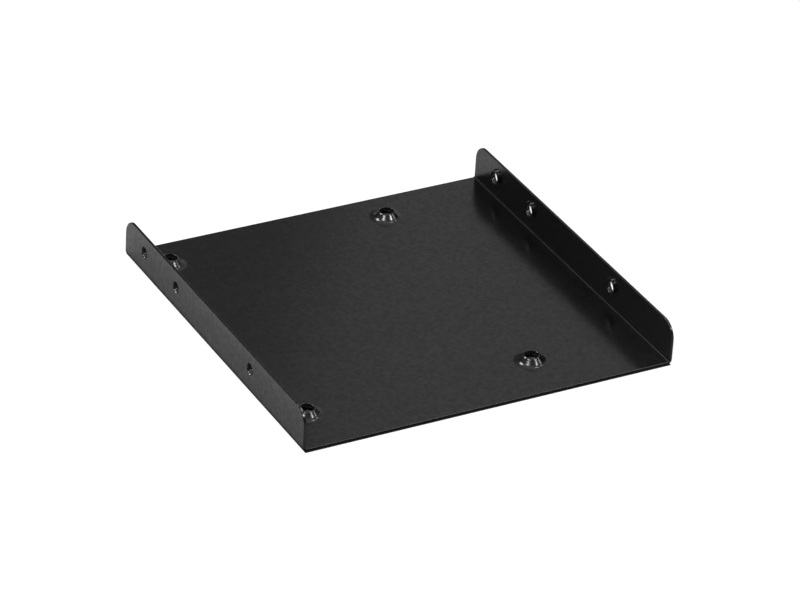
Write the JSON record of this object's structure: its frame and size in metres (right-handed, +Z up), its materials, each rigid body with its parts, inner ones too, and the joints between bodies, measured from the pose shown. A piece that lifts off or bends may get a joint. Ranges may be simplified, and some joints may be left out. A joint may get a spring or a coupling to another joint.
{
  "type": "drive bay adapter bracket",
  "caption": "Shallow folded sheet tray whose raised, pierced bosses carry a small drive, and whose low threaded side flanges screw into a larger drive bay.",
  "frame": {"origin": "middle of the underside, on the surface that the bracket rests on", "axes": "+X across the bay, away from the flange that the bosses are nearer to; +Y to the rear, where two holes of each flange are close together; +Z up, the way the flanges stand"},
  "size_m": [0.1016, 0.1002, 0.011],
  "materials": {
    "coat": "satin black powder coat"
  },
  "bodies": {
    "root": {"bracket": "coat"}
  },
  "joints": []
}
